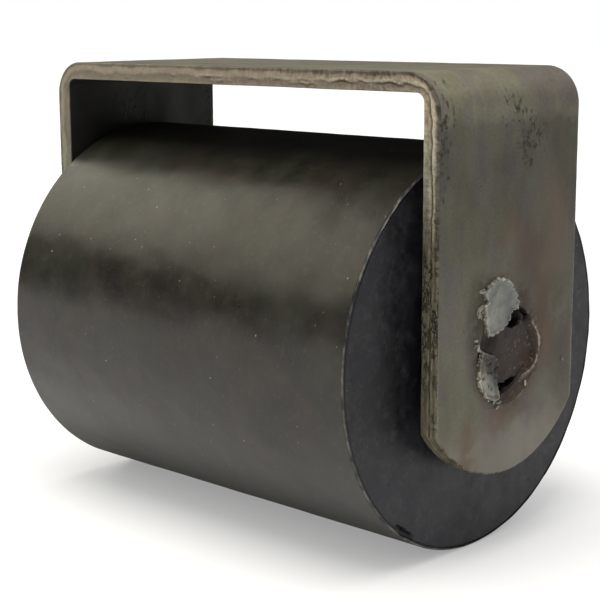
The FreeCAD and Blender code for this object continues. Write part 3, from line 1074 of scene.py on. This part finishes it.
def finish_inner_pieces():
    """Finishes of the pieces inside the roller, which keep their frame shapes. A later ending wins."""
    finishes = {
        "core_tube": machined_finish("tube_drawn_steel", (150, 148, 144), 0.42),
        "distance_sleeve": machined_finish("sleeve_turned_steel", (172, 170, 166), 0.36),
        "spacer_sleeve": machined_finish("spacer_turned_steel", (160, 157, 150), 0.40),
        "_ring": machined_finish("bearing_ground_steel", (196, 196, 198), 0.22),
        "balls": machined_finish("ball_polished_steel", (208, 209, 212), 0.14),
        "cage": moulded_finish("cage_moulded_plastic", (52, 70, 58), 0.45),
        "seal": moulded_finish("seal_moulded_rubber", (40, 40, 42), 0.55),
        "retaining_ring": machined_finish("spring_blued_steel", (74, 74, 80), 0.34),
    }
    for name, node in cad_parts.items():
        for ending, material in finishes.items():
            if name.endswith(ending):
                for slot in node.material_slots:
                    slot.material = material


# Stage, light and camera

floor_reach = 6.0
wall_radius = 5.9
wall_height = 0.12
wall_sectors = 96
near_floor = 0.35             # within this distance the floor shows the shadow most
far_floor = 1.10
contact_reach = 0.05          # what stands this close above the floor dims its glow, as a painted contact shadow
contact_share = 0.58
plain_tone = 0.8
sky_strength = 0.12

# The camera that fits the photo, which is taken to be 600 pixels wide
camera_place = Vector((-0.31075, -0.29332, 0.01296))
camera_yaw = 0.8126           # radians, from +Y towards +X
camera_pitch = -0.1882
camera_roll = -0.0040
focal_pixels = 1485.14
photo_pixels = 600
sensor_width = 36.0


def stage_finish(name, pale, near_glow, far_glow):
    """White to the eye and in reflections, where it keeps the object's shadow, and plain pale for light."""
    paint = Finish(name)
    seen = paint.value("LightPath", output="Is Camera Ray")
    for ray in ("Is Glossy Ray", "Is Transmission Ray"):
        rays = {0: seen, 1: paint.value("LightPath", output=ray)}
        seen = paint.value("Math", rays, operation="ADD", use_clamp=True)
    # painted contact shadow: the floor's glow dims under the object
    open_sky = paint.value("AmbientOcclusion", {"Distance": contact_reach}, "AO")
    near_strength = open_sky * (near_glow * contact_share) + near_glow * (1 - contact_share)
    distance = paint.value("NewGeometry", output="Position").vector("LENGTH", output="Value")
    strength = distance.level(near_floor, far_floor, near_strength, far_glow, smooth=False)
    plain = paint.value("BsdfDiffuse", {"Color": (plain_tone, plain_tone, plain_tone, 1)})
    shaded = paint.value("BsdfDiffuse", {"Color": (pale, pale, pale, 1)})
    white = paint.value("AddShader", {0: shaded, 1: paint.value("Emission", {"Strength": strength})})
    choice = paint.value("MixShader", {0: seen, 1: plain, 2: white})
    paint.tree.links.new(choice.socket, paint.tree.nodes["Material Output"].inputs["Surface"])
    paint.tree.nodes.remove(paint.shader)
    return paint.material


def make_stage():
    ground = cad_box[0][2]
    square = Skin()
    corners = ((-1, -1), (1, -1), (1, 1), (-1, 1))
    square.faces.append([square.add((x * floor_reach, y * floor_reach, ground)) for x, y in corners])
    floor = square.piece("floor", stage_finish("pale_floor", pale=0.5, near_glow=0.70, far_glow=1.0))
    wall = Skin()
    rows = []
    for height in (ground, wall_height):
        row = []
        for sector in range(wall_sectors):
            angle = 2 * math.pi * sector / wall_sectors
            row.append(wall.add((wall_radius * math.cos(angle), wall_radius * math.sin(angle), height)))
        rows.append(row)
    wall.join(*rows)
    backdrop = wall.piece("backdrop", stage_finish("white_backdrop", pale=0.0, near_glow=1.0, far_glow=1.0))


def area_light(name, place, target, width, height, power, colour):
    data = bpy.data.lights.new(name, "AREA")
    data.color = colour
    data.shape = "RECTANGLE"
    data.size = width
    data.size_y = height
    data.energy = power
    lamp = bpy.data.objects.new(name, data)
    lamp.location = place
    lamp.rotation_euler = (Vector(target) - Vector(place)).to_track_quat("-Z", "Y").to_euler()
    bpy.context.scene.collection.objects.link(lamp)


def make_light():
    middle = (0, 0, axle_height)
    area_light("overhead_softbox", (-0.30, -0.10, 1.05), middle, width=0.8, height=0.8, power=13,
               colour=(1.0, 0.97, 0.91))
    area_light("back_softbox", (-0.26, 0.86, 0.60), middle, width=1.3, height=0.55, power=4.3,
               colour=(1.0, 0.97, 0.79))
    world = bpy.data.worlds.new("studio")
    world.use_nodes = True
    background = world.node_tree.nodes["Background"]
    background.inputs["Color"].default_value = (1, 1, 1, 1)
    background.inputs["Strength"].default_value = sky_strength
    bpy.context.scene.world = world
    bpy.context.scene.view_settings.view_transform = "Standard"


def make_camera():
    turn = Matrix.Rotation(-camera_yaw, 4, "Z")
    turn @= Matrix.Rotation(math.pi / 2 + camera_pitch, 4, "X")
    turn @= Matrix.Rotation(camera_roll, 4, "Z")
    data = bpy.data.cameras.new("photo_camera")
    data.sensor_width = sensor_width
    data.lens = focal_pixels * sensor_width / photo_pixels
    data.clip_start = 0.01
    data.clip_end = 50
    camera = bpy.data.objects.new("photo_camera", data)
    camera.matrix_world = Matrix.Translation(camera_place) @ turn
    bpy.context.scene.collection.objects.link(camera)
    bpy.context.scene.camera = camera


make_bracket()
make_rubber()
make_axle()
make_welds()
finish_inner_pieces()
make_stage()
make_light()
make_camera()
